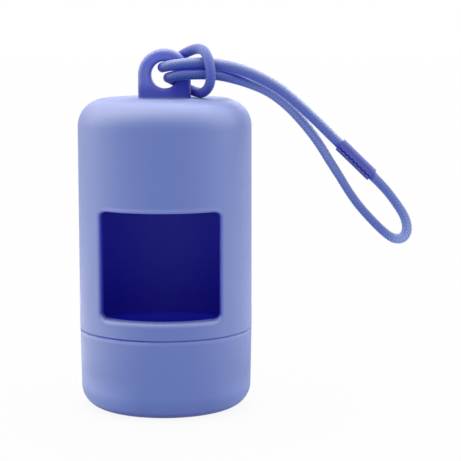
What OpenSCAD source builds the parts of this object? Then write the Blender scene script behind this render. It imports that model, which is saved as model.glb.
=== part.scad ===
// Waste bag dispenser: a moulded silicone sleeve with a pull-out window and
// a hanging lug, closed below by a push-on cup cap. An elastic wrist cord is
// hitched through the lug and its two ends are joined by a folded metal clip.
// Units are millimetres, +Z is up, the origin is the centre of the base and
// the window faces -Y.

/* [Body] */
// Outside diameter of the body
body_d = 43; // [40:0.5:56]
// Height of the flat top above the base
body_h = 77; // [72:1:100]
// Thickness of the side wall
wall = 2.75; // [2.7:0.05:3.6]
// Thickness of the top wall
top_t = 3; // [2:0.1:4]
// Radius of the rounded top edge
top_edge_r = 6.9; // [4:0.1:9]

/* [Window] */
// Width of the window, between its straight sides
window_w = 28.5; // [20:0.5:30]
// Height of the window
window_h = 26.2; // [16:0.2:34]
// Height of the sill above the base
sill_z = 24.3; // [24:0.1:30]
// Corner radius of the window
window_corner_r = 1.4; // [1:0.1:4]
// Rounding of the window's outer edge
lip_r = 1.3; // [0.5:0.1:2]

/* [Base cap] */
// Height of the cap's rim, where the cap meets the body
cap_h = 19.8; // [16:0.2:22]
// Radius that the cap loses from its rim to the base
cap_taper = 0.4; // [0:0.1:1]
// Radius of the rounded bottom edge
base_edge_r = 5.6; // [3:0.1:7]
// Thickness of the cap's floor
floor_t = 3; // [2:0.1:5]
// Fillet between the cap's floor and its inner wall
cup_fillet_r = 3; // [1:0.1:5]
// Bevel on both edges of the parting line
seam_bevel = 0.3; // [0.1:0.05:0.5]

/* [Closure] */
// Thickness of the ring under the body that enters the cap
tongue_t = 1.3; // [1:0.05:1.5]
// Length of that ring
tongue_l = 6; // [4:0.5:8]
// Thickness of the cap's inner lip
lip_t = 1.25; // [1:0.05:2]
// Height of the inner lip above the rim
lip_rise = 0.7; // [0.4:0.1:2]
// Radial running gap on each side of the ring
fit_gap = 0.05; // [0.02:0.01:0.1]
// Free depth left under the ring
groove_play = 0.3; // [0.1:0.1:1]
// Lead-in bevel on the ring and the inner lip
lead_in = 0.3; // [0.1:0.05:0.4]

/* [Lug] */
// Width of the lug
lug_w = 12.9; // [11:0.1:16]
// Thickness of the lug, front to back
lug_t = 4.4; // [3.4:0.1:4.6]
// Diameter of the cord hole
hole_d = 6.7; // [6.7:0.1:8]
// Height of the hole's centre above the top of the body
hole_rise = 5.7; // [5.4:0.1:7]
// Rounding of the lug's outer edges
lug_edge_r = 1.2; // [0.5:0.1:1.5]
// Rounding of the hole's edges
hole_edge_r = 0.8; // [0.3:0.1:1]

/* [Wrist cord] */
// Diameter of the elastic cord
cord_d = 2.5; // [2:0.1:2.5]

/* [Clip] */
// Length of the clip along the cord
clip_l = 10.8; // [8:0.2:11]
// Sheet thickness of the clip
clip_t = 0.35; // [0.2:0.05:0.5]
// Gap between the cord and the clip
clip_gap = 0.05; // [0.02:0.01:0.1]
// Outer bend radius of the folded sheet
clip_bend_r = 1; // [0.6:0.1:1.4]
// Width of the open seam
seam_w = 0.16; // [0.1:0.02:0.3]
// Distance from the clip's lower edge to the middle of the seam
seam_edge = 1; // [0.8:0.1:1.4]
// Number of teeth along the seam
teeth = 8; // [4:1:12]
// Height of each tooth
tooth_h = 0.28; // [0.1:0.02:0.4]

/* [Hidden] */
$fn = 96;
silicone = [0.44, 0.49, 0.77];
elastic = [0.40, 0.47, 0.75];
clip_paint = [0.33, 0.34, 0.70];
eps = 0.01;

body_r = body_d / 2;
chamber_r = body_r - wall;
chamber_top_z = body_h - top_t;
chamber_edge_r = top_edge_r - wall;
tongue_out_r = chamber_r + tongue_t;
rim_in_r = tongue_out_r + fit_gap;
lip_out_r = chamber_r - fit_gap;
lip_in_r = lip_out_r - lip_t;
tongue_z = cap_h - tongue_l;
hole_z = body_h + hole_rise;
lug_r = lug_w / 2;
cord_r = cord_d / 2;

// Points of the wrist cord, from the clip along the outer strand, round the
// lug's right leg and back along the inner strand to the clip.
ROUTE = [
    [47.07, -2.6, 62.19], [43.26, -2.6, 65.88], [41.06, -2.7, 68.06],
    [37.56, -3.1, 71.56], [33.57, -3.5, 75.28], [29.07, -3.7, 79.09],
    [24.55, -3.6, 81.89], [20.52, -3.4, 83.75], [16.51, -3.2, 84.94],
    [13.50, -2.9, 85.50], [11.00, -2.7, 85.75], [8.50, -3.1, 85.80],
    [6.01, -3.6, 85.70], [3.61, -3.7, 85.43], [1.51, -3.2, 85.06], [0.0, -1.8, 84.70],
    [-0.50, 0.0, 84.50], [-0.20, 1.8, 84.60], [0.80, 3.3, 85.10], [2.20, 3.9, 86.10],
    [4.07, 3.7, 87.44], [6.19, 2.7, 88.52], [8.12, 0.5, 89.08], [9.45, -1.8, 88.91],
    [10.46, -4.1, 88.08], [11.20, -5.6, 86.60], [11.65, -6.2, 84.79],
    [11.83, -6.2, 82.90], [11.61, -5.5, 81.12], [11.05, -4.0, 79.76],
    [10.14, -2.1, 78.92], [9.20, -0.2, 78.61], [8.25, 1.6, 78.61], [6.83, 3.2, 78.91],
    [4.95, 3.9, 79.69], [3.18, 3.9, 80.55], [1.80, 3.1, 81.30], [1.00, 1.6, 81.80],
    [0.90, -0.2, 82.00], [1.40, -1.9, 82.20], [2.80, -3.4, 82.50],
    [4.80, -3.7, 82.80], [7.10, -3.4, 82.81], [9.50, -3.0, 82.83],
    [12.00, -2.8, 82.68], [14.51, -2.7, 82.34], [17.03, -2.6, 81.72],
    [21.04, -2.4, 80.51], [26.06, -2.2, 78.31], [30.52, -2.1, 74.93],
    [34.54, -2.1, 70.63], [38.03, -2.2, 66.12], [40.76, -2.3, 61.77],
    [43.38, -2.3, 57.69], [45.55, -2.2, 54.19], [47.96, -2.2, 50.84],
    [50.67, -2.1, 47.74], [53.56, -2.0, 44.80], [55.81, -2.0, 43.10],
    [57.28, -2.0, 42.64], [58.79, -2.0, 42.86], [59.77, -2.0, 44.00],
    [59.93, -2.0, 45.53], [59.24, -2.0, 47.99], [57.05, -2.1, 51.48],
    [54.53, -2.4, 54.73], [51.25, -2.6, 58.16], [47.36, -2.6, 61.91]
];
CORD_SIDES = 8;
clip_centre = [47.23, -2.6, 62.04];
clip_slope = 44;

// ---- profiles ----

// Half profile of an upright column with a rounded top edge
module round_top_profile(r, z0, z1, edge_r) {
    translate([0, z0]) square([r - edge_r, z1 - z0]);
    translate([0, z0]) square([r, z1 - edge_r - z0]);
    translate([r - edge_r, z1 - edge_r]) circle(edge_r);
}

// Half profile of the cap's outside: flat base, rounded edge and tapered side
module cap_outline() {
    draft = atan(cap_taper / cap_h);
    edge_line_r = body_r - (cap_h - base_edge_r) * tan(draft);
    edge_x = edge_line_r - base_edge_r / cos(draft);
    tangent_x = edge_x + base_edge_r * cos(draft);
    tangent_z = base_edge_r * (1 - sin(draft));
    polygon([
        [0, 0], [edge_x, 0], [tangent_x, tangent_z],
        [body_r, cap_h], [0, cap_h]
    ]);
    translate([edge_x, base_edge_r]) circle(base_edge_r);
}

// Triangle that bevels a ring's edge at radius r and height z
module bevel_profile(r, z, size, up) {
    polygon([
        [r - size, z], [r + eps, z - up * (size + eps)],
        [r + eps, z + up * eps], [r - size, z + up * eps]
    ]);
}

// Ring profile, rooted at z_root, with both edges bevelled at its free end
module ring_profile(r_in, r_out, z_root, z_end) {
    s = z_end > z_root ? 1 : -1;
    polygon([
        [r_in, z_root], [r_out, z_root], [r_out, z_end - s * lead_in],
        [r_out - lead_in, z_end], [r_in + lead_in, z_end], [r_in, z_end - s * lead_in]
    ]);
}

// ---- window ----

// Outline of the window grown by e: a rounded rectangle as [x, z] points,
// with extra points along the sill and the head so that they follow the body
function window_outline(e) =
    let (
        hw = window_w / 2 + e,
        hh = window_h / 2 + e,
        cr = window_corner_r + e,
        zc = sill_z + window_h / 2,
        steps = 8,
        spans = 24,
        arc = function (cx, cz, a0) [
            for (i = [0:steps])
                [cx + cr * cos(a0 + 90 * i / steps), cz + cr * sin(a0 + 90 * i / steps)]
        ],
        run = function (x0, x1, z) [
            for (i = [1:spans - 1]) [x0 + (x1 - x0) * i / spans, z]
        ]
    )
    concat(
        arc(hw - cr, zc + hh - cr, 0),
        run(hw - cr, cr - hw, zc + hh),
        arc(cr - hw, zc + hh - cr, 90),
        arc(cr - hw, zc - hh + cr, 180),
        run(cr - hw, hw - cr, zc - hh),
        arc(hw - cr, zc - hh + cr, 270)
    );

// One ring of the window cutter, at a depth below the body's surface
function window_ring(e, depth) =
    let (r = body_r - depth)
    [for (p = window_outline(e)) [p[0], -sqrt(r * r - p[0] * p[0]), p[1]]];

// One flat ring of the window cutter
function flat_ring(e, y) = [for (p = window_outline(e)) [p[0], y, p[1]]];

// Solid between rings of equal length, the first and last rings being flat
module skin(rings) {
    n = len(rings[0]);
    m = len(rings);
    points = [for (r = rings) each r];
    sides = [
        for (k = [0:m - 2], i = [0:n - 1])
            let (a = k * n + i, b = k * n + (i + 1) % n)
            [a, a + n, b + n, b]
    ];
    first = [for (i = [0:n - 1]) i];
    last = [for (i = [n - 1:-1:0]) (m - 1) * n + i];
    polyhedron(points, concat(sides, [first, last]), convexity = 4);
}

// Cutter for the window: straight sides that flare along a quarter round
// and meet the body's cylinder all the way round
module window_cutter() {
    stages = 8;
    last_angle = 78;
    overrun = 0.25;
    flare = [
        for (i = [0:stages])
            let (a = last_angle * i / stages)
            window_ring(lip_r * (1 - cos(a)), lip_r * (1 - sin(a)))
    ];
    end_e = lip_r * (1 - cos(last_angle) + overrun * sin(last_angle));
    end_depth = lip_r * (1 - sin(last_angle) - overrun * cos(last_angle));
    skin(concat(
        [flat_ring(0, 0)],
        flare,
        [window_ring(end_e, end_depth), flat_ring(end_e, -body_r - lip_r)]
    ));
}

// ---- lug ----

// Half section of the arch: a flat disc with a rounded rim
module lug_rim_profile() {
    flat_t = lug_t - 2 * lug_edge_r;
    translate([0, -lug_t / 2]) square([lug_r - lug_edge_r, lug_t]);
    translate([0, -flat_t / 2]) square([lug_r, flat_t]);
    for (s = [-1, 1]) translate([lug_r - lug_edge_r, s * flat_t / 2]) circle(lug_edge_r);
}

// Level section of the legs: a rectangle with rounded corners
module lug_leg_section() {
    core_w = lug_w - 2 * lug_edge_r;
    core_t = lug_t - 2 * lug_edge_r;
    square([lug_w, core_t], center = true);
    square([core_w, lug_t], center = true);
    for (x = [-1, 1], y = [-1, 1]) translate([x * core_w / 2, y * core_t / 2]) circle(lug_edge_r);
}

// Cord hole with rounded mouths on both faces
module lug_hole() {
    mouth = lug_t / 2 - hole_edge_r;
    hole_r = hole_d / 2;
    rotate([90, 0, 0]) rotate_extrude() difference() {
        translate([0, -lug_t]) square([hole_r + hole_edge_r, 2 * lug_t]);
        translate([hole_r, -mouth]) square([2 * hole_edge_r, 2 * mouth]);
        for (s = [-1, 1]) translate([hole_r + hole_edge_r, s * mouth]) circle(hole_edge_r);
    }
}

// Legs rooted in the top wall, with a half-round arch over them
module lug() {
    root = top_t / 2;
    translate([0, 0, hole_z]) difference() {
        union() {
            rotate([90, 0, 0]) rotate_extrude(angle = 180) lug_rim_profile();
            translate([0, 0, -hole_rise - root]) linear_extrude(hole_rise + root) lug_leg_section();
        }
        lug_hole();
    }
}

// ---- body and cap ----

// Half section of the sleeve with the ring that enters the cap
module sleeve_profile() {
    difference() {
        union() {
            difference() {
                round_top_profile(body_r, cap_h, body_h, top_edge_r);
                bevel_profile(body_r, cap_h, seam_bevel, -1);
            }
            ring_profile(chamber_r, tongue_out_r, cap_h + wall, tongue_z);
        }
        round_top_profile(chamber_r, cap_h - 1, chamber_top_z, chamber_edge_r);
    }
}

module body_shell() {
    color(silicone) {
        difference() {
            rotate_extrude() sleeve_profile();
            window_cutter();
        }
        lug();
    }
}

// Half section of the cap: a deep cup with a groove and an inner lip
module cap_profile() {
    difference() {
        union() {
            difference() {
                cap_outline();
                bevel_profile(body_r, cap_h, seam_bevel, 1);
            }
            ring_profile(lip_in_r, lip_out_r, floor_t, cap_h + lip_rise);
        }
        translate([lip_out_r, tongue_z - groove_play])
            square([rim_in_r - lip_out_r, tongue_l + groove_play + 1]);
        translate([0, floor_t + cup_fillet_r]) square([lip_in_r, body_h]);
        translate([0, floor_t]) square([lip_in_r - cup_fillet_r, body_h]);
        translate([lip_in_r - cup_fillet_r, floor_t + cup_fillet_r]) circle(cup_fillet_r);
    }
}

module base_cap() {
    color(silicone) rotate_extrude() cap_profile();
}

// ---- wrist cord and clip ----

function unit(v) = v / norm(v);

function route_tangent(i) =
    unit(ROUTE[min(i + 1, len(ROUTE) - 1)] - ROUTE[max(i - 1, 0)]);

// Part of vector v square to the unit vector t
function square_to(v, t) = unit(v - (v * t) * t);

module wrist_cord() {
    n = len(ROUTE);
    start_normal = square_to([0, 1, 0], route_tangent(0));
    normals = [
        for (i = 0, v = start_normal; i < n; i = i + 1,
             v = i < n ? square_to(v, route_tangent(i)) : v)
            v
    ];
    rings = [
        for (i = [0:n - 1])
            let (t = route_tangent(i), u = normals[i], w = cross(t, u))
            [
                for (k = [0:CORD_SIDES - 1])
                    let (a = 360 * k / CORD_SIDES)
                    ROUTE[i] + cord_r * (cos(a) * u + sin(a) * w)
            ]
    ];
    color(elastic) skin(rings);
}

// Folded section of the clip: a rounded square tube round the cord
module clip_section(outer, bend_r) {
    core = outer - 2 * bend_r;
    square([outer, core], center = true);
    square([core, outer], center = true);
    for (x = [-1, 1], y = [-1, 1]) translate([x * core / 2, y * core / 2]) circle(bend_r, $fn = 32);
}

// Zig-zag strip that opens the clip along its length
module seam_outline() {
    pitch = clip_l / teeth;
    crest = [
        for (i = [0:2 * teeth])
            [-clip_l / 2 + i * pitch / 2, (i % 2 == 0 ? -1 : 1) * tooth_h / 2]
    ];
    ends = [[-clip_l, crest[0][1]], [clip_l, crest[0][1]]];
    line = concat([ends[0]], crest, [ends[1]]);
    polygon(concat(
        [for (p = line) p + [0, seam_w / 2]],
        [for (i = [len(line) - 1:-1:0]) line[i] - [0, seam_w / 2]]
    ));
}

module cord_clip() {
    inner = cord_d + 2 * clip_gap;
    outer = inner + 2 * clip_t;
    color(clip_paint) translate(clip_centre) rotate([0, clip_slope, 0]) difference() {
        rotate([0, 90, 0]) linear_extrude(clip_l, center = true) difference() {
            clip_section(outer, clip_bend_r);
            clip_section(inner, clip_bend_r - clip_t);
        }
        translate([0, 0, seam_edge - outer / 2]) rotate([90, 0, 0])
            linear_extrude(outer) seam_outline();
    }
}

body_shell();
base_cap();
wrist_cord();
cord_clip();
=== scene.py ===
import math
import bpy
import numpy as np
from mathutils import Matrix, Vector


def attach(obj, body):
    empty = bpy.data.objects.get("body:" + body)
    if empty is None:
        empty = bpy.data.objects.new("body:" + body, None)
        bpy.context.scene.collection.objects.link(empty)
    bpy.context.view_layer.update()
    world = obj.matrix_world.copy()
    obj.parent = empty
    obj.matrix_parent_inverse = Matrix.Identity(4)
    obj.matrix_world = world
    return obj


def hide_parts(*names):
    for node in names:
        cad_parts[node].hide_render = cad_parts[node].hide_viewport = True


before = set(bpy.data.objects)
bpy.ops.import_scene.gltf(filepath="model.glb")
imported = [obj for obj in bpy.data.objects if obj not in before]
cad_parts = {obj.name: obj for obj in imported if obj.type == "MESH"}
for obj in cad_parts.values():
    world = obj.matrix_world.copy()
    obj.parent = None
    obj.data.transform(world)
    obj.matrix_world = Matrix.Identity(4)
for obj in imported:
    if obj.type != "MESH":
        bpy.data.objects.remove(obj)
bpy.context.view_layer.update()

MM = 0.001

# ---- sizes of part.scad that the cord's shade and the materials go by ----
BODY_TOP = 77.0 * MM  # the flat top of the sleeve
EYE_Z = 82.7 * MM  # centre of the lug's hole
LUG_HALF_W = 6.4 * MM  # just inside its sides
LUG_HALF_T = 2.2 * MM
PARTING_Z = 19.8 * MM  # where the cap meets the sleeve
WINDOW_W = 28.5 * MM
WINDOW_H = 26.2 * MM
SILL_Z = 24.3 * MM
WINDOW_TOP = SILL_Z + WINDOW_H
WINDOW_CORNER_R = 1.4 * MM

# ---- camera: seen from a little to the right of the window and a little above ----
CAMERA_AT = (0.035671, -0.424065, 0.099231)
CAMERA_YAW = math.radians(2.6226)
CAMERA_PITCH = math.radians(7.4071)
CAMERA_ROLL = math.radians(-0.0873)
FOCAL_PIXELS = 1718.18
IMAGE_PIXELS = 461
SENSOR_MM = 36.0
CLIP_NEAR = 0.01
CLIP_FAR = 20.0


def make_camera():
    data = bpy.data.cameras.new("camera")
    data.sensor_width = SENSOR_MM
    data.sensor_fit = "HORIZONTAL"
    data.lens = FOCAL_PIXELS / IMAGE_PIXELS * SENSOR_MM
    data.clip_start = CLIP_NEAR
    data.clip_end = CLIP_FAR
    camera = bpy.data.objects.new("camera", data)
    bpy.context.scene.collection.objects.link(camera)
    turn = (
        Matrix.Rotation(CAMERA_YAW, 4, "Z")
        @ Matrix.Rotation(math.pi / 2 - CAMERA_PITCH, 4, "X")
        @ Matrix.Rotation(CAMERA_ROLL, 4, "Z")
    )
    camera.matrix_world = Matrix.Translation(CAMERA_AT) @ turn
    bpy.context.scene.camera = camera


make_camera()

# ---- wrist cord: the route of part.scad, in millimetres until it is scaled ----
ROUTE_MM = [
    [47.07, -2.6, 62.19], [43.26, -2.6, 65.88], [41.06, -2.7, 68.06],
    [37.56, -3.1, 71.56], [33.57, -3.5, 75.28], [29.07, -3.7, 79.09],
    [24.55, -3.6, 81.89], [20.52, -3.4, 83.75], [16.51, -3.2, 84.94],
    [13.50, -2.9, 85.50], [11.00, -2.7, 85.75], [8.50, -3.1, 85.80],
    [6.01, -3.6, 85.70], [3.61, -3.7, 85.43], [1.51, -3.2, 85.06], [0.0, -1.8, 84.70],
    [-0.50, 0.0, 84.50], [-0.20, 1.8, 84.60], [0.80, 3.3, 85.10], [2.20, 3.9, 86.10],
    [4.07, 3.7, 87.44], [6.19, 2.7, 88.52], [8.12, 0.5, 89.08], [9.45, -1.8, 88.91],
    [10.46, -4.1, 88.08], [11.20, -5.6, 86.60], [11.65, -6.2, 84.79],
    [11.83, -6.2, 82.90], [11.61, -5.5, 81.12], [11.05, -4.0, 79.76],
    [10.14, -2.1, 78.92], [9.20, -0.2, 78.61], [8.25, 1.6, 78.61], [6.83, 3.2, 78.91],
    [4.95, 3.9, 79.69], [3.18, 3.9, 80.55], [1.80, 3.1, 81.30], [1.00, 1.6, 81.80],
    [0.90, -0.2, 82.00], [1.40, -1.9, 82.20], [2.80, -3.4, 82.50],
    [4.80, -3.7, 82.80], [7.10, -3.4, 82.81], [9.50, -3.0, 82.83],
    [12.00, -2.8, 82.68], [14.51, -2.7, 82.34], [17.03, -2.6, 81.72],
    [21.04, -2.4, 80.51], [26.06, -2.2, 78.31], [30.52, -2.1, 74.93],
    [34.54, -2.1, 70.63], [38.03, -2.2, 66.12], [40.76, -2.3, 61.77],
    [43.38, -2.3, 57.69], [45.55, -2.2, 54.19], [47.96, -2.2, 50.84],
    [50.67, -2.1, 47.74], [53.56, -2.0, 44.80], [55.81, -2.0, 43.10],
    [57.28, -2.0, 42.64], [58.79, -2.0, 42.86], [59.77, -2.0, 44.00],
    [59.93, -2.0, 45.53], [59.24, -2.0, 47.99], [57.05, -2.1, 51.48],
    [54.53, -2.4, 54.73], [51.25, -2.6, 58.16], [47.36, -2.6, 61.91],
]
ROUTE = np.array(ROUTE_MM) * MM
# The elastic thins where it is stretched: radius in millimetres at points of the route
CORD_RADII = [
    (0, 1.25), (2, 1.26), (3, 1.29), (5, 1.36), (6, 1.44), (7, 1.48), (8, 1.47), (9, 1.44),
    (11, 1.42), (13, 1.42), (15, 1.28), (17, 1.25), (21, 1.29), (24, 1.24), (26, 1.20),
    (28, 1.22), (31, 1.24), (40, 1.26), (41, 1.34), (43, 1.35), (45, 1.31), (46, 1.25),
    (47.5, 1.22), (48.5, 1.28), (49.5, 1.27), (50.5, 1.20), (51.5, 1.14), (53.5, 1.08),
    (57, 1.09), (58, 1.11), (59, 1.24), (60, 1.30), (61, 1.30), (62, 1.25), (63, 1.18),
    (64, 1.13), (65, 1.15), (66, 1.22), (67, 1.25),
]
# How far it gives from the route where its strands press on each other and where the hitch
# rests on the sleeve: point number, then y and z in millimetres
CORD_GIVE = [
    (0, 0, 0), (4, 0, 0), (5, 0, -0.05), (6, 0, -0.14), (7, 0, -0.20), (8, 0, -0.20),
    (9, 0, -0.18), (12, 0, -0.14), (13, 0, -0.10), (14, 0, -0.04), (15, 0, 0), (29, 0, 0),
    (30, 0, -0.15), (31, 0, -0.30), (33, 0, -0.32), (34, 0, -0.20), (36, 0, 0), (39, 0, 0),
    (40, 0, 0.06), (41, 0, 0.12), (42, 0, 0.16), (45, 0, 0.20), (46, 0.2, 0.18),
    (47, 1.0, 0.10), (48, 1.8, 0.03), (49, 1.6, 0.05), (50, 1.2, 0.06), (51, 0.6, 0),
    (52, 0, 0), (57, 0, 0), (58, 0, -0.12), (59, 0, -0.22), (60, 0, -0.25), (61, 0, -0.12),
    (62, 0, 0), (67, 0, 0),
]
# Painted light, paler at points 47 to 52 and round the loop's end, where those stretches catch
# more light: point number, share
PAINTED_LIGHT_ALONG = [
    (0, 0), (46, 0), (47, 0.2), (48, 0.55), (49, 0.65), (50, 0.5), (52, 0.3), (55, 0.1),
    (57, 0.13), (58, 0.42), (59, 0.85), (60, 1), (61, 0.85), (62, 0.7), (63, 0.45), (64, 0.25),
    (66, 0.1), (67, 0),
]
# Painted highlight, paler on its upper side only: point number, share
UPPER_HIGHLIGHT = [
    (0, 0), (2, 0), (3, 0.5), (4.5, 0.5), (5.5, 0.1), (8, 0), (9, 0.35), (10, 0.15), (11, 0.65),
    (14, 0.65), (15, 0.4), (16, 0), (58, 0), (59, 0.35), (60, 0.35), (61, 0), (67, 0),
]
# Matt where it is handled: point number, share
HANDLED = [(0, 0.5), (2, 0), (50, 0), (56, 0.8), (58, 1), (65, 1), (67, 0.5)]
# Point numbers between which the cord is pulled tight on the lug and takes the shaded copy of the
# elastic, which paints shade over the hitch, between which it turns round its own strands, and
# beyond which its lower side gets painted light
HITCH = (10.2, 44.2)
BIGHT = (17, 35)
BIGHT_FADE = 2
FREE = (10, 45)
CLIP_AT = np.array([47.23, -2.6, 62.04]) * MM  # its middle
CLIP_SLOPE = math.radians(44)
CLIP_L = 10.8 * MM
CLIP_ALONG = np.array([math.cos(CLIP_SLOPE), 0, -math.sin(CLIP_SLOPE)])
CLIP_UP = np.array([math.sin(CLIP_SLOPE), 0, math.cos(CLIP_SLOPE)])
YARNS = 6  # in each direction
LAY = 5.0 * MM  # length in which a yarn goes once round
CREVICE = 0.55  # share of its height that a yarn loses where it dives under another
RING_STEP = 0.115 * MM
RING_SIDES = 50
RELIEF = 0.055 * MM
YARN_NOISE = 0.008  # share of the relief
YARN_SEED = 7
SPAN_SAMPLES = 24  # of the curve between two points of the route
SOFTEN_ROUNDS = 60
RADIUS_BLUR = 41  # rings
# The lower side gets painted light, as if lit from below
LOWER_SIDE = (0.05, 0.80)  # how far a place faces down, from no share of the lower side to all
UPPER_SIDE = (0.0, 5 / 6)
# Painted shade: how near another strand, the lug, the flat top or the clip's mouth has to be, and
# the shares of it that the lug and the middle of the mouth give
OTHER_STRAND = 7 * MM  # a stretch of cord this far along it, or further, is another strand
TOUCH_FADE = 1.0 * MM
TOP_REACH = 17 * MM
TOP_FADE = 3.2 * MM
LUG_SHADE = 0.8
MOUTH_FADE = 1.3 * MM
MOUTH_SHADE = 0.6
MOUTH_LOW = 1.4 * MM
NEAR_RINGS = 9  # looked at on each side of the nearest one
FAR = 1.0


def blend(u, u0, u1, p0, p1):
    """The point at u on the line from p0 at u0 to p1 at u1."""
    return (u1 - u) / (u1 - u0) * p0 + (u - u0) / (u1 - u0) * p1


def spline(points):
    """Centripetal Catmull-Rom curve through points, and the point's number at each sample."""
    ends = np.vstack([2 * points[0] - points[1], points, 2 * points[-1] - points[-2]])
    out, number = [], []
    for i in range(len(points) - 1):
        p = ends[i : i + 4]
        t = np.concatenate([[0], np.cumsum(np.linalg.norm(np.diff(p, axis=0), axis=1) ** 0.5)])
        for s in np.arange(SPAN_SAMPLES) / SPAN_SAMPLES:
            u = t[1] + (t[2] - t[1]) * s
            a = [blend(u, t[k], t[k + 1], p[k], p[k + 1]) for k in range(3)]
            b = [blend(u, t[k], t[k + 2], a[k], a[k + 1]) for k in range(2)]
            out.append(blend(u, t[1], t[2], b[0], b[1]))
            number.append(i + s)
    return np.array(out + [points[-1]]), np.array(number + [len(points) - 1.0])


def lengths(points):
    """Length of the curve up to each of its points."""
    return np.concatenate([[0], np.cumsum(np.linalg.norm(np.diff(points, axis=0), axis=1))])


def even(points, number, step):
    """The curve at equal steps of length, with each step's length and point number."""
    run = lengths(points)
    at = np.linspace(0, run[-1], int(round(run[-1] / step)) + 1)
    line = np.stack([np.interp(at, run, points[:, k]) for k in range(3)], 1)
    return line, at, np.interp(at, run, number)


def soften(points):
    """Takes the small kinks out of a finely divided curve and keeps its ends."""
    p = points.copy()
    for _ in range(SOFTEN_ROUNDS):
        p[1:-1] = 0.25 * p[:-2] + 0.5 * p[1:-1] + 0.25 * p[2:]
    return p


def sides(points):
    """Two untwisted directions across the curve at each of its points."""
    tangent = np.gradient(points, axis=0)
    tangent /= np.linalg.norm(tangent, axis=1)[:, None]
    normal = np.zeros_like(points)
    v = np.array([0.0, 1.0, 0.0])
    for i, t in enumerate(tangent):
        v = v - v.dot(t) * t
        v /= np.linalg.norm(v)
        normal[i] = v
    return normal, np.cross(tangent, normal)


def braid(angle, run):
    """Height of a two-over, two-under braid, from 0 in a crevice to 1 on a yarn's crown."""
    u = YARNS * (angle / (2 * math.pi) - run / LAY)
    v = YARNS * (angle / (2 * math.pi) + run / LAY)
    i, j = np.floor(u), np.floor(v)
    kind = np.mod(i + j, 4)
    first = kind < 2
    across = np.where(first, u - i, v - j) * 2 - 1
    along = np.where(first, v - (j - kind + 1), u - (i - (kind - 2) + 1))
    crown = np.sqrt(np.clip(1 - across**2, 0, 1))
    return crown * (1 - CREVICE * np.clip(np.abs(along), 0, 1) ** 3)


def new_object(name, verts, faces):
    mesh = bpy.data.meshes.new(name)
    mesh.from_pydata([tuple(p) for p in verts], [], [tuple(f) for f in faces])
    mesh.validate()
    mesh.update()
    obj = bpy.data.objects.new(name, mesh)
    bpy.context.scene.collection.objects.link(obj)
    for p in mesh.polygons:
        p.use_smooth = True
    return obj


def in_clip(verts, run):
    """Painted shade: 1 inside the clip, and fading out from its two mouths, most of all on the
    lower side.
    """
    from_clip = verts - CLIP_AT
    out = np.abs(from_clip @ CLIP_ALONG) - CLIP_L / 2
    below = -from_clip @ CLIP_UP
    mouth = np.clip(1 - out / MOUTH_FADE, 0, 1) * np.clip(MOUTH_SHADE + below / MOUTH_LOW, 0, 1)
    at_end = np.minimum(run, run[-1] - run)[:, None] < CLIP_L
    return np.where(at_end, np.where(out < 0, 1, mouth), 0)


def contact_shade_share(verts, line, run, radius):
    """Share of painted shade: 1 where the cord lies against itself, the lug, the top of the sleeve
    or the clip, and 0 in the open."""
    apart = np.linalg.norm(line[:, None, :] - line[None, :, :], axis=2)
    apart[np.abs(run[:, None] - run[None, :]) < OTHER_STRAND] = FAR
    other = apart.argmin(1)
    gap = np.full(verts.shape[:2], FAR)
    for k in range(-NEAR_RINGS, NEAR_RINGS + 1):
        j = np.clip(other + k, 0, len(line) - 1)
        away = np.linalg.norm(verts - line[j][:, None, :], axis=2) - radius[j][:, None]
        gap = np.minimum(gap, away)
    against = np.clip(1 - gap / TOUCH_FADE, 0, 1)
    x, y, z = verts[..., 0], verts[..., 1], verts[..., 2]
    top = np.clip(1 - (z - BODY_TOP) / TOP_FADE, 0, 1) * (np.hypot(x, y) < TOP_REACH)
    arch = np.hypot(x, np.clip(z - EYE_Z, 0, None)) - LUG_HALF_W
    face = np.abs(y) - LUG_HALF_T
    lug_gap = np.hypot(np.clip(arch, 0, None), np.clip(face, 0, None))
    lug = LUG_SHADE * np.clip(1 - lug_gap / TOUCH_FADE, 0, 1)
    return 1 - (1 - against) * (1 - top) * (1 - lug) * (1 - in_clip(verts, run))


def give_way(route):
    """The route, moved where the cord gives."""
    give = np.array(CORD_GIVE)
    moved = route.copy()
    for axis in (1, 2):
        moved[:, axis] += np.interp(np.arange(len(route)), give[:, 0], give[:, axis]) * MM
    return moved


def cord_radius(number):
    kernel = np.hanning(RADIUS_BLUR)
    radius = np.interp(number, *zip(*CORD_RADII)) * MM
    padded = np.pad(radius, RADIUS_BLUR // 2, mode="edge")
    return np.convolve(padded, kernel / kernel.sum(), mode="valid")


def tube_faces(n, m):
    """Faces of a tube of n rings of m points, which is closed by two more points at its ends."""
    base = np.arange(n - 1)[:, None] * m
    k = np.arange(m)[None, :]
    a, b = base + k, base + (k + 1) % m
    faces = np.stack([a, b, b + m, a + m], 2).reshape(-1, 4).tolist()
    faces += [[n * m, (q + 1) % m, q] for q in range(m)]
    faces += [[n * m + 1, (n - 1) * m + q, (n - 1) * m + (q + 1) % m] for q in range(m)]
    return faces


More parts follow.
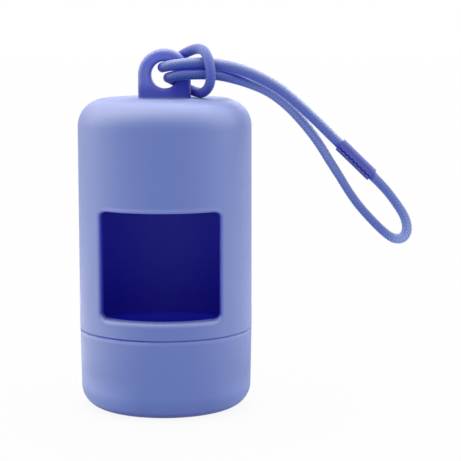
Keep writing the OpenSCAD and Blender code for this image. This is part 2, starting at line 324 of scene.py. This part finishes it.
def make_cord():
    curve, number = spline(give_way(ROUTE))
    line, run, number = even(curve, number, RING_STEP)
    line = soften(line)
    radius = cord_radius(number)
    normal, other = sides(line)
    angle = np.arange(RING_SIDES) * 2 * math.pi / RING_SIDES
    cos, sin = np.cos(angle)[None, :, None], np.sin(angle)[None, :, None]
    outward = cos * normal[:, None, :] + sin * other[:, None, :]
    height = braid(angle[None, :], run[:, None])
    rng = np.random.default_rng(YARN_SEED)
    yarn_noise = YARN_NOISE * rng.standard_normal(height.shape)
    r = radius[:, None] - RELIEF * (1 - height + yarn_noise)
    verts = line[:, None, :] + r[:, :, None] * outward
    n, m = height.shape
    # Painted shade where the cord lies against itself, the lug, the top of the sleeve or the clip
    contact_shade = contact_shade_share(verts, line, run, radius)
    verts = np.vstack([verts.reshape(-1, 3), line[0], line[-1]])
    cord = new_object("braided_cord", verts, tube_faces(n, m))
    up = outward[..., 2]
    free = np.clip(np.maximum(FREE[0] - number, number - FREE[1]), 0, 1)[:, None]
    # Painted light on the lower side, outside the hitch
    lower = np.interp(-up, LOWER_SIDE, (0, 1)) * free
    # Painted highlight on the upper side
    upper_highlight = np.interp(up, UPPER_SIDE, (0, 1)) * np.interp(number, *zip(*UPPER_HIGHLIGHT))[:, None]
    # Painted light along the paler stretches, with the upper side's painted highlight
    painted_light = 1 - (1 - np.interp(number, *zip(*PAINTED_LIGHT_ALONG))[:, None]) * (1 - upper_highlight)
    knot = np.clip(np.minimum(number - BIGHT[0], BIGHT[1] - number) / BIGHT_FADE, 0, 1)
    handled = np.interp(number, *zip(*HANDLED))
    for name, value in (
        ("crown", height),
        ("contact_shade", contact_shade),
        ("lower", lower),
        ("knot", np.repeat(knot, m)),
        ("painted_light", painted_light),
        ("handled", np.repeat(handled, m)),
    ):
        layer = cord.data.attributes.new(name, "FLOAT", "POINT")
        values = np.concatenate([value.ravel(), [0, 0]])
        layer.data.foreach_set("value", values.astype(np.float32))
    hitched = np.repeat((number[:-1] > HITCH[0]) & (number[:-1] < HITCH[1]), m)
    hitched = np.concatenate([hitched, np.zeros(2 * m, bool)])
    return cord, line, hitched


cord, cord_line, cord_hitched = make_cord()

# ---- clip: a sheet folded round the two ends, its toothed edges closing in front ----
CLIP_T = 0.35 * MM
CLIP_HALF = 1.65 * MM
CLIP_BEND = 1.0 * MM
BEND_POINTS = 9
FRONT_STEPS = 8
SIDE_STEPS = 6
SEAM_W = 0.40 * MM
SEAM_Z = -0.65 * MM
SEAM_MARGIN = 0.34 * MM  # length of the section that only the teeth's own points reach into
TEETH = 8
TOOTH_H = 0.32 * MM
ROWS_PER_TOOTH = 12
HOLLOW = 0.012  # share by which the crimping tool narrows the clip's middle
CLIP_EDGE = 0.07 * MM
SHARP = math.radians(50)  # an edge that turns more than this is bevelled


def clip_path():
    """Middle line of the folded section from the seam, up and round to it again, as [y, z]."""
    r = CLIP_BEND - CLIP_T / 2
    h = CLIP_HALF - CLIP_T / 2
    flat = h - r
    points = [(-h, SEAM_Z)]

    def corner(cy, cz, a0):
        for a in np.radians(a0 - np.linspace(0, 90, BEND_POINTS)):
            points.append((cy + r * math.cos(a), cz + r * math.sin(a)))

    def walk(y, z, steps):
        y0, z0 = points[-1]
        for s in range(1, steps):
            points.append((y0 + (y - y0) * s / steps, z0 + (z - z0) * s / steps))

    walk(-h, flat, FRONT_STEPS)
    corner(-flat, flat, 180)
    walk(flat, h, SIDE_STEPS)
    corner(flat, flat, 90)
    walk(h, -flat, SIDE_STEPS)
    corner(flat, -flat, 0)
    walk(-flat, -h, SIDE_STEPS)
    corner(-flat, -flat, -90)
    points.append((-h, SEAM_Z))
    return np.array(points)


def fold_clip():
    """The folded sheet without its thickness, along X."""
    path = clip_path()
    run = lengths(path)
    inner = run[(run > SEAM_MARGIN) & (run < run[-1] - SEAM_MARGIN)]
    rows = np.linspace(-CLIP_L / 2, CLIP_L / 2, TEETH * ROWS_PER_TOOTH + 1)
    phase = np.mod((rows / CLIP_L + 0.5) * TEETH, 1)
    zig = (1 - 2 * np.abs(2 * phase - 1)) * TOOTH_H / 2
    verts = []
    for x, dz in zip(rows, zig):
        s = np.concatenate([[dz + SEAM_W / 2], inner, [run[-1] + dz - SEAM_W / 2]])
        y, z = np.interp(s, run, path[:, 0]), np.interp(s, run, path[:, 1])
        narrowed = 1 - HOLLOW * math.cos(math.pi * x / CLIP_L) ** 2
        verts += [(x, a * narrowed, b * narrowed) for a, b in zip(y, z)]
    n, m = len(rows), len(inner) + 2
    faces = [
        (i * m + k, (i + 1) * m + k, (i + 1) * m + k + 1, i * m + k + 1)
        for i in range(n - 1)
        for k in range(m - 1)
    ]
    return new_object("crimp_clip", verts, faces)


def make_clip():
    clip = fold_clip()
    wall = clip.modifiers.new("wall", "SOLIDIFY")
    wall.thickness = CLIP_T
    wall.offset = 0
    wall.use_even_offset = True
    edge = clip.modifiers.new("edge", "BEVEL")
    edge.width = CLIP_EDGE
    edge.segments = 2
    edge.limit_method = "ANGLE"
    edge.angle_limit = SHARP
    even_light = clip.modifiers.new("even_light", "WEIGHTED_NORMAL")
    even_light.keep_sharp = True
    turn = Matrix.Rotation(CLIP_SLOPE, 4, "Y")
    clip.data.transform(Matrix.Translation(CLIP_AT) @ turn)
    bpy.context.view_layer.update()
    graph = bpy.context.evaluated_depsgraph_get()
    made = bpy.data.meshes.new_from_object(clip.evaluated_get(graph))
    clip.modifiers.clear()
    clip.data = made
    return clip


clip = make_clip()

for piece, body, slot, node in (
    (cord, "sleeve", "elastic_cord", "wrist_cord"),
    (clip, "sleeve", "clip_paint", "cord_clip"),
):
    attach(piece, body)
    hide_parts(node)


# ---- materials ----
NOISE = (0.3, 0.7)  # the values that nearly all of a noise texture lies between
WIDE_NOISE = (0.25, 0.75)
NARROW_NOISE = (0.35, 0.65)


class Nodes:
    """Short names for building one material's nodes."""

    def __init__(self, name):
        self.material = bpy.data.materials.new(name)
        self.material.use_nodes = True
        self.tree = self.material.node_tree
        self.shader = self.tree.nodes["Principled BSDF"]
        self.place = self.tree.nodes.new("ShaderNodeTexCoord").outputs["Object"]

    def link(self, a, b):
        self.tree.links.new(a, b)

    def parts(self):
        """The x, y and z of a place on the surface."""
        n = self.tree.nodes.new("ShaderNodeSeparateXYZ")
        self.link(self.place, n.inputs[0])
        return n.outputs

    def attribute(self, name):
        n = self.tree.nodes.new("ShaderNodeAttribute")
        n.attribute_name = name
        return n.outputs["Fac"]

    def noise(self, scale, detail=2.0, roughness=0.5):
        n = self.tree.nodes.new("ShaderNodeTexNoise")
        n.inputs["Scale"].default_value = scale
        n.inputs["Detail"].default_value = detail
        n.inputs["Roughness"].default_value = roughness
        self.link(self.place, n.inputs["Vector"])
        return n.outputs["Fac"]

    def math(self, kind, a, b=None):
        n = self.tree.nodes.new("ShaderNodeMath")
        n.operation = kind
        for socket, value in zip(n.inputs, (a, b)):
            if value is None:
                continue
            if isinstance(value, (int, float)):
                socket.default_value = value
            else:
                self.link(value, socket)
        return n.outputs[0]

    def plus(self, a, b):
        return self.math("ADD", a, b)

    def minus(self, a, b):
        return self.math("SUBTRACT", a, b)

    def most(self, a, b):
        return self.math("MAXIMUM", a, b)

    def size(self, a):
        return self.math("ABSOLUTE", a)

    def times(self, first, *others):
        for other in others:
            first = self.math("MULTIPLY", first, other)
        return first

    def distance(self, a, b):
        return self.math("SQRT", self.plus(self.times(a, a), self.times(b, b)))

    def span(self, value, lo, hi, to_lo=0.0, to_hi=1.0, smooth=False):
        """to_lo where the value is lo, to_hi where it is hi, and no further."""
        n = self.tree.nodes.new("ShaderNodeMapRange")
        n.interpolation_type = "SMOOTHSTEP" if smooth else "LINEAR"
        self.link(value, n.inputs["Value"])
        for key, v in (("From Min", lo), ("From Max", hi), ("To Min", to_lo), ("To Max", to_hi)):
            n.inputs[key].default_value = v
        return n.outputs["Result"]

    def mix(self, share, a, b):
        """Colour a, with colour b over it as far as share says."""
        n = self.tree.nodes.new("ShaderNodeMix")
        n.data_type = "RGBA"
        self.link(share, n.inputs["Factor"])
        for socket, value in ((n.inputs[6], a), (n.inputs[7], b)):
            if isinstance(value, tuple):
                socket.default_value = (*value, 1)
            else:
                self.link(value, socket)
        return n.outputs[2]

    def bump(self, height, distance, strength, under=None):
        n = self.tree.nodes.new("ShaderNodeBump")
        n.inputs["Strength"].default_value = strength
        n.inputs["Distance"].default_value = distance
        self.link(height, n.inputs["Height"])
        if under:
            self.link(under, n.inputs["Normal"])
        return n.outputs[0]

    def set(self, **values):
        for key, value in values.items():
            socket = self.shader.inputs[key.replace("_", " ")]
            if isinstance(value, (int, float)):
                socket.default_value = value
            else:
                self.link(value, socket)


# Silicone. Each pair of lengths runs from where a look has no share to where it has its full one
FRONT_Y = (-4 * MM, -8 * MM)
SKIN_R = (20.2 * MM, 20.8 * MM)  # distance from the part's axis
SILICONE = ((0.096, 0.151, 0.452), (0.103, 0.159, 0.472))
SILICONE_ROUGHNESS = (0.50, 0.60)

# Window lip: painted highlight along its top, painted shade on its cut sides
LIP_TOP_Z = (WINDOW_TOP - 0.5 * MM, WINDOW_TOP + 0.2 * MM)
LIP_FOOT_Z = (SILL_Z + 0.2 * MM, SILL_Z + 1.5 * MM)
LIP_HIGHLIGHT_OUT = (1.4 * MM, 0.8 * MM)  # distance outside the opening
LIP_SHADE_OUT = (0.8 * MM, 0.3 * MM)
LIP_PAINTED_HIGHLIGHT = (0.165, 0.215, 0.560)
LIP_PAINTED_SHADE = (0.020, 0.030, 0.420)

# Flat top
FLAT_BELOW_Z = (BODY_TOP - 0.5 * MM, BODY_TOP - 0.1 * MM)
FLAT_ABOVE_Z = (BODY_TOP + 0.4 * MM, BODY_TOP + 0.1 * MM)
FLAT_ROUGHER = 0.20

# Lug: painted shade all over it, deepest at its foot and round the hitch, and painted light on its
# left leg
LUG_Z = (BODY_TOP + 0.05 * MM, BODY_TOP + 0.5 * MM)
LEG_X = (-2.8 * MM, -4.0 * MM)
LEG_TOP_Z = (EYE_Z + 2.3 * MM, EYE_Z + 1.1 * MM)
LEG_FOOT_Z = (BODY_TOP + 2.0 * MM, BODY_TOP + 3.8 * MM)
LUG_FOOT_Z = (BODY_TOP + 4.2 * MM, BODY_TOP + 1.5 * MM)
LUG_FOOT_SHARE = 0.75
HITCH_X = 6.5 * MM
HITCH_Z = 80.0 * MM
HITCH_OUT = (11.5 * MM, 3.0 * MM)  # distance from the middle of the hitch
LUG_PAINTED_SHADE = (0.066, 0.109, 0.550)
LUG_LEG_PAINTED_LIGHT = (0.092, 0.126, 0.530)
LUG_SHADED = (0.018, 0.030, 0.400)
SHADED_ROUGHER = 0.3

# Cap: painted highlight on its rim, painted sheen on its left and right sides, painted shade on
# the edge it stands on
RIM_BELOW_Z = (PARTING_Z - 1.1 * MM, PARTING_Z - 0.7 * MM)
RIM_ABOVE_Z = (PARTING_Z - 0.2 * MM, PARTING_Z - 0.4 * MM)
NICK_SIDE_X = (2 * MM, -8 * MM)
RIM_SHARES = (0.5, 1.0)  # away from the nick and on its side
SIDE_SHEEN_Z = (11.0 * MM, 5.5 * MM)
SIDE_SHEEN_FOOT_Z = (1.4 * MM, 2.6 * MM)
SIDE_SHEEN_LEFT_X = (-4.0 * MM, -16.5 * MM)
SIDE_SHEEN_RIGHT_X = (12.5 * MM, 19.5 * MM)
SIDE_SHEEN_RIGHT_SHARE = 0.6
STANDING_Z = (1.9 * MM, 0.4 * MM)
RIM_PAINTED_HIGHLIGHT = (0.165, 0.210, 0.510)
SIDE_PAINTED_SHEEN = (0.172, 0.243, 0.575)
STANDING_EDGE_SHADE = (0.020, 0.034, 0.280)

# Parting line: painted shade in its groove, and a small dark spot on it
PARTING_OUT = (0.36 * MM, 0.16 * MM)
PARTING_SHARES = (0.42, 0.85)  # away from the nick and on its side
NICK_X = -9.3 * MM
NICK_OUT = (0.5 * MM, 0.2 * MM)
PARTING_GROOVE_SHADE = (0.024, 0.036, 0.420)
NICK = (0.030, 0.045, 0.330)

# Inside: painted shade in the chamber, darker near its foot than up its wall, and painted light on
# the cap, a purer blue
CHAMBER_R = (19.6 * MM, 18.8 * MM)
CHAMBER_TOP_Z = (BODY_TOP - 1.5 * MM, BODY_TOP - 2.5 * MM)
CHAMBER_FOOT_Z = (1.0 * MM, 2.0 * MM)
CHAMBER_Z = (24 * MM, 50 * MM)
CUP_Z = (PARTING_Z + 1.1 * MM, PARTING_Z)
CHAMBER_PAINTED_SHADE = ((0.013, 0.011, 0.520), (0.046, 0.047, 0.690))
CUP_PAINTED_LIGHT = (0.020, 0.018, 0.800)
CHAMBER_ROUGHER = 0.12


def window_lip(n, colour, x, z, front):
    """The window's rolled edge gets a painted highlight along its top, and painted shade on its
    cut sides.
    """
    wide = n.most(n.minus(n.size(x), WINDOW_W / 2 - WINDOW_CORNER_R), 0.0)
    high = n.size(n.minus(z, SILL_Z + WINDOW_H / 2))
    high = n.most(n.minus(high, WINDOW_H / 2 - WINDOW_CORNER_R), 0.0)
    out = n.minus(n.distance(wide, high), WINDOW_CORNER_R)
    top = n.span(z, *LIP_TOP_Z)
    painted_light = n.times(top, n.span(out, *LIP_HIGHLIGHT_OUT), front)
    colour = n.mix(painted_light, colour, LIP_PAINTED_HIGHLIGHT)
    cut_side_shade = n.times(n.span(out, *LIP_SHADE_OUT, smooth=True), n.minus(1.0, top))
    cut_side_shade = n.times(cut_side_shade, n.span(z, *LIP_FOOT_Z), front)
    return n.mix(cut_side_shade, colour, LIP_PAINTED_SHADE)


def lug(n, colour, x, z):
    """The lug gets painted shade all over, deepest at its foot and round the hitch, and painted
    light on its left leg. The second value is how far a place on it is in the painted shade at its
    foot and round the hitch."""
    on_lug = n.span(z, *LUG_Z)
    colour = n.mix(on_lug, colour, LUG_PAINTED_SHADE)
    lit_leg = n.times(n.span(x, *LEG_X), n.span(z, *LEG_TOP_Z), n.span(z, *LEG_FOOT_Z))
    colour = n.mix(lit_leg, colour, LUG_LEG_PAINTED_LIGHT)
    hitch = n.distance(n.minus(x, HITCH_X), n.minus(z, HITCH_Z))
    hitch = n.span(hitch, *HITCH_OUT, smooth=True)
    foot = n.span(z, *LUG_FOOT_Z, 0.0, LUG_FOOT_SHARE, smooth=True)
    shaded = n.times(n.most(hitch, foot), on_lug)
    return n.mix(shaded, colour, LUG_SHADED), shaded


def cap_painted_light(n, colour, x, z, skin):
    """The cap's rim gets a painted highlight, its left and right sides painted sheen, and the edge
    it stands on painted shade.
    """
    rim = n.times(n.span(z, *RIM_BELOW_Z), n.span(z, *RIM_ABOVE_Z))
    rim = n.times(rim, skin, n.span(x, *NICK_SIDE_X, *RIM_SHARES))
    colour = n.mix(rim, colour, RIM_PAINTED_HIGHLIGHT)
    sheen_band = n.times(n.span(z, *SIDE_SHEEN_Z, smooth=True), n.span(z, *SIDE_SHEEN_FOOT_Z))
    right = n.span(x, *SIDE_SHEEN_RIGHT_X, 0.0, SIDE_SHEEN_RIGHT_SHARE)
    side = n.most(n.span(x, *SIDE_SHEEN_LEFT_X), right)
    colour = n.mix(n.times(sheen_band, side), colour, SIDE_PAINTED_SHEEN)
    return n.mix(n.span(z, *STANDING_Z), colour, STANDING_EDGE_SHADE)


def parting_line(n, colour, x, z, skin, front):
    """The parting line's groove gets painted shade, deepest on the side of the nick, and a small
    dark spot, the nick, is painted on it.
    """
    away = n.minus(z, PARTING_Z)
    groove = n.times(n.span(n.size(away), *PARTING_OUT), skin)
    groove = n.times(groove, n.span(x, *NICK_SIDE_X, *PARTING_SHARES))
    colour = n.mix(groove, colour, PARTING_GROOVE_SHADE)
    nick = n.distance(n.minus(x, NICK_X), away)
    nick = n.times(n.span(nick, *NICK_OUT), front)
    return n.mix(nick, colour, NICK)


def inside(n, z, radius):
    """The colour inside the hollow, painted shade with painted light on the cap, and how far a
    place is inside it.
    """
    deep = n.times(n.span(radius, *CHAMBER_R, smooth=True), n.span(z, *CHAMBER_TOP_Z))
    deep = n.times(deep, n.span(z, *CHAMBER_FOOT_Z))
    colour = n.mix(n.span(z, *CHAMBER_Z), *CHAMBER_PAINTED_SHADE)
    return n.mix(n.span(z, *CUP_Z), colour, CUP_PAINTED_LIGHT), deep


def silicone(name, sleeve):
    """Soft-touch moulded silicone. sleeve is True for the sleeve with its window and lug, and
    False for the cap."""
    n = Nodes(name)
    x, y, z = n.parts()
    radius = n.distance(x, y)
    front = n.span(y, *FRONT_Y)
    skin = n.span(radius, *SKIN_R)
    colour = n.mix(n.span(n.noise(38, detail=3), *NOISE), *SILICONE)
    rough = n.span(n.noise(420, detail=4, roughness=0.6), *WIDE_NOISE, *SILICONE_ROUGHNESS)
    if sleeve:
        colour = window_lip(n, colour, x, z, front)
        flat = n.times(n.span(z, *FLAT_BELOW_Z), n.span(z, *FLAT_ABOVE_Z))
        rough = n.plus(rough, n.times(flat, FLAT_ROUGHER))
        colour, shaded = lug(n, colour, x, z)
        rough = n.plus(rough, n.times(shaded, SHADED_ROUGHER))
    else:
        colour = cap_painted_light(n, colour, x, z, skin)
    colour = parting_line(n, colour, x, z, skin, front)
    within, deep = inside(n, z, radius)
    ripple = n.bump(n.noise(160), 0.02 * MM, strength=0.35)
    n.set(
        Base_Color=n.mix(deep, colour, within),
        Roughness=n.plus(rough, n.times(deep, CHAMBER_ROUGHER)),
        Specular_IOR_Level=0.5,
        Normal=n.bump(n.noise(5200), 0.008 * MM, strength=0.5, under=ripple),
    )
    return n.material


# Elastic. The limits are values of the attributes that make_cord gives its surface
CROWN = (0.15, 0.9)
CROWN_SHARES = (0.4, 1.0)
CONTACT_SHADE_RANGE = (0.05, 0.80)
PATCH_SHARES = (0.0, 0.35)
KNOT_SHARE = 0.7
YARN = ((0.030, 0.076, 0.370), (0.046, 0.102, 0.450))
YARN_PATCH = (0.028, 0.066, 0.350)
# Painted light for the lower side
YARN_UNDERSIDE_LIGHT = (0.055, 0.120, 0.580)
YARN_KNOT = (0.075, 0.115, 0.540)
# Painted light for the paler stretches and the lighter upper side
YARN_PAINTED_LIGHT = (0.240, 0.325, 0.705)
# Painted shade for the crevices between the yarns
YARN_CREVICE_SHADE = (0.020, 0.034, 0.280)
# Painted shade where the cord lies against things and inside the clip
YARN_CONTACT_SHADE = (0.014, 0.026, 0.520)
YARN_ROUGHNESS = (0.54, 0.64)
HANDLED_ROUGHER = 0.34
KNOT_ROUGHER = 0.2


def elastic(name, gloss, sheen):
    """Braided elastic. Its attributes say where painted light and painted shade go."""
    n = Nodes(name)
    fray = n.span(n.noise(2600, detail=3, roughness=0.6), *NOISE)
    patch = n.span(n.noise(700), *NARROW_NOISE, *PATCH_SHARES)
    crown = n.span(n.attribute("crown"), *CROWN, *CROWN_SHARES)
    # Painted shade where the cord lies against things
    contact_shade = n.span(n.attribute("contact_shade"), *CONTACT_SHADE_RANGE, smooth=True)
    knot = n.attribute("knot")
    yarn = n.mix(fray, *YARN)
    yarn = n.mix(patch, yarn, YARN_PATCH)
    yarn = n.mix(n.attribute("lower"), yarn, YARN_UNDERSIDE_LIGHT)
    yarn = n.mix(n.times(knot, KNOT_SHARE), yarn, YARN_KNOT)
    yarn = n.mix(n.attribute("painted_light"), yarn, YARN_PAINTED_LIGHT)
    # Painted shade in the crevices, where the braid's crown is low
    colour = n.mix(crown, YARN_CREVICE_SHADE, yarn)
    rough = n.span(fray, 0.0, 1.0, *YARN_ROUGHNESS)
    rough = n.plus(rough, n.times(n.attribute("handled"), HANDLED_ROUGHER))
    rough = n.plus(rough, n.times(knot, KNOT_ROUGHER))
    n.set(
        Base_Color=n.mix(contact_shade, colour, YARN_CONTACT_SHADE),
        Roughness=rough,
        Specular_IOR_Level=gloss,
        Sheen_Weight=sheen,
        Sheen_Roughness=0.4,
        Normal=n.bump(n.noise(9000), 0.01 * MM, strength=0.5),
    )
    return n.material


# Paint on the clip, with a painted highlight along the upper side of its slope
PAINT = ((0.068, 0.082, 0.385), (0.086, 0.100, 0.435))
PAINT_TOP_HIGHLIGHT = (0.112, 0.134, 0.460)
PAINT_EDGE = (0.030, 0.035, 0.330)
PAINT_ROUGHNESS = (0.56, 0.66)
CLIP_TOP_UP = (0.75 * MM, 1.10 * MM)  # height over the clip's middle, square to its slope
CLIP_EDGE_UP = (-1.35 * MM, -1.55 * MM)


def paint(name):
    """Painted metal, with a painted highlight along the upper side of its slope, and darker along
    the lower one.
    """
    n = Nodes(name)
    peel = n.noise(2200)
    up = n.tree.nodes.new("ShaderNodeVectorMath")
    up.operation = "DOT_PRODUCT"
    n.link(n.place, up.inputs[0])
    up.inputs[1].default_value = CLIP_UP
    up = n.minus(up.outputs["Value"], float(CLIP_AT @ CLIP_UP))
    colour = n.mix(n.span(n.noise(300, detail=3), *NOISE), *PAINT)
    colour = n.mix(n.span(up, *CLIP_TOP_UP, smooth=True), colour, PAINT_TOP_HIGHLIGHT)
    colour = n.mix(n.span(up, *CLIP_EDGE_UP), colour, PAINT_EDGE)
    n.set(
        Base_Color=colour,
        Roughness=n.span(peel, *NOISE, *PAINT_ROUGHNESS),
        Specular_IOR_Level=0.16,
        Normal=n.bump(peel, 0.01 * MM, strength=0.4),
    )
    return n.material


def dress(obj, material):
    obj.data.materials.clear()
    obj.data.materials.append(material)


dress(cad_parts["body_shell"], silicone("body_silicone", sleeve=True))
dress(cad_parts["base_cap"], silicone("cap_silicone", sleeve=False))
dress(cord, elastic("elastic_cord", gloss=0.62, sheen=0.9))
# The hitch takes a copy with less gloss and sheen: a shaded copy of the elastic, which paints
# shade over the hitch
cord.data.materials.append(elastic("elastic_hitch_shaded", gloss=0.45, sheen=0.25))
cord.data.polygons.foreach_set("material_index", cord_hitched.astype(np.int32))
dress(clip, paint("clip_paint"))

# ---- floor, world and lights ----
FLOOR_HALF = 3.0
FLOOR_Z = -0.02 * MM
FLOOR_COLOUR = (0.95, 0.95, 0.95, 1)
FLOOR_GLOW = 0.9  # share of the floor that shows as plain white where it is a background
WHITE = (1, 1, 1, 1)
PART_CENTRE = Vector((0, 0, 0.045))
BEHIND_Y = 0.3  # a panel further back than this is behind the part
UP = (0, 0, 1)


def background_ray(tree):
    """1 for rays that show the background: straight from the camera, mirrored or through glass."""
    path = tree.nodes.new("ShaderNodeLightPath")
    out = path.outputs["Is Camera Ray"]
    for kind in ("Is Glossy Ray", "Is Transmission Ray"):
        either = tree.nodes.new("ShaderNodeMath")
        either.operation = "MAXIMUM"
        tree.links.new(out, either.inputs[0])
        tree.links.new(path.outputs[kind], either.inputs[1])
        out = either.outputs[0]
    return out


def floor_material():
    mat = bpy.data.materials.new("floor")
    mat.use_nodes = True
    tree = mat.node_tree
    shader = tree.nodes["Principled BSDF"]
    shader.inputs["Base Color"].default_value = FLOOR_COLOUR
    shader.inputs["Roughness"].default_value = 0.9
    shader.inputs["Specular IOR Level"].default_value = 0.0
    glow = tree.nodes.new("ShaderNodeEmission")
    mix = tree.nodes.new("ShaderNodeMixShader")
    share = tree.nodes.new("ShaderNodeMath")
    share.operation = "MULTIPLY"
    share.inputs[1].default_value = FLOOR_GLOW
    tree.links.new(background_ray(tree), share.inputs[0])
    tree.links.new(share.outputs[0], mix.inputs[0])
    tree.links.new(shader.outputs[0], mix.inputs[1])
    tree.links.new(glow.outputs[0], mix.inputs[2])
    tree.links.new(mix.outputs[0], tree.nodes["Material Output"].inputs[0])
    return mat


def make_floor():
    """The floor is set a hair below the part, so that the two don't lie in one plane."""
    h = FLOOR_HALF
    corners = [(-h, -h, 0), (h, -h, 0), (h, h, 0), (-h, h, 0)]
    floor = new_object("floor", corners, [(0, 1, 2, 3)])
    floor.location.z = FLOOR_Z
    dress(floor, floor_material())


def make_world():
    world = bpy.data.worlds.new("studio")
    bpy.context.scene.world = world
    world.use_nodes = True
    back = world.node_tree.nodes["Background"]
    back.inputs["Color"].default_value = WHITE
    back.inputs["Strength"].default_value = 1.0


def panel(name, at, facing, size, watts, behind=False):
    """A soft panel that shows as sheen only: the even light of the room already gives each
    colour its own value. Multiple importance sampling would let some of its light into the
    colours too, so only the panels behind the part have it, whose sheen is grainy without it."""
    data = bpy.data.lights.new(name, "AREA")
    data.shape = "RECTANGLE"
    data.size, data.size_y = size
    data.energy = watts
    data.cycles.use_multiple_importance_sampling = behind
    lamp = bpy.data.objects.new(name, data)
    bpy.context.scene.collection.objects.link(lamp)
    lamp.location = at
    lamp.rotation_mode = "QUATERNION"
    lamp.rotation_quaternion = Vector(facing).to_track_quat("-Z", "Y")
    lamp.visible_diffuse = False
    lamp.visible_camera = False


def softbox(name, turn, height, size, watts):
    """A panel one metre from the part. turn is its angle from the window towards +X, and
    height its angle above the floor."""
    turn, height = math.radians(turn), math.radians(height)
    flat = math.cos(height)
    out = Vector((math.sin(turn) * flat, -math.cos(turn) * flat, math.sin(height)))
    panel(name, PART_CENTRE + out, -out, size, watts, out.y > BEHIND_Y)


make_floor()
make_world()
softbox("left", -98, 12, (1.1, 1.1), 15.5)
softbox("right", 98, 12, (1.1, 1.1), 14.5)
softbox("right_back", 130, 12, (0.9, 0.9), 3)
softbox("upper_left", -90, 55, (0.9, 0.9), 18.5)
softbox("upper_right", 90, 55, (0.9, 0.9), 10.5)
softbox("overhead", 0, 90, (0.8, 0.8), 12)
softbox("overhead_front", 0, 60, (1.6, 0.7), 12)
softbox("overhead_back", 180, 45, (1.8, 0.8), 15.5)
softbox("back_right", 150, 50, (0.9, 0.9), 12.5)
panel("floor_left", (-0.13, 0.03, 0.0005), UP, (0.18, 0.3), 0.45)
panel("floor_right", (0.15, 0.03, 0.0005), UP, (0.18, 0.3), 0.3)

bpy.context.scene.view_settings.view_transform = "Standard"
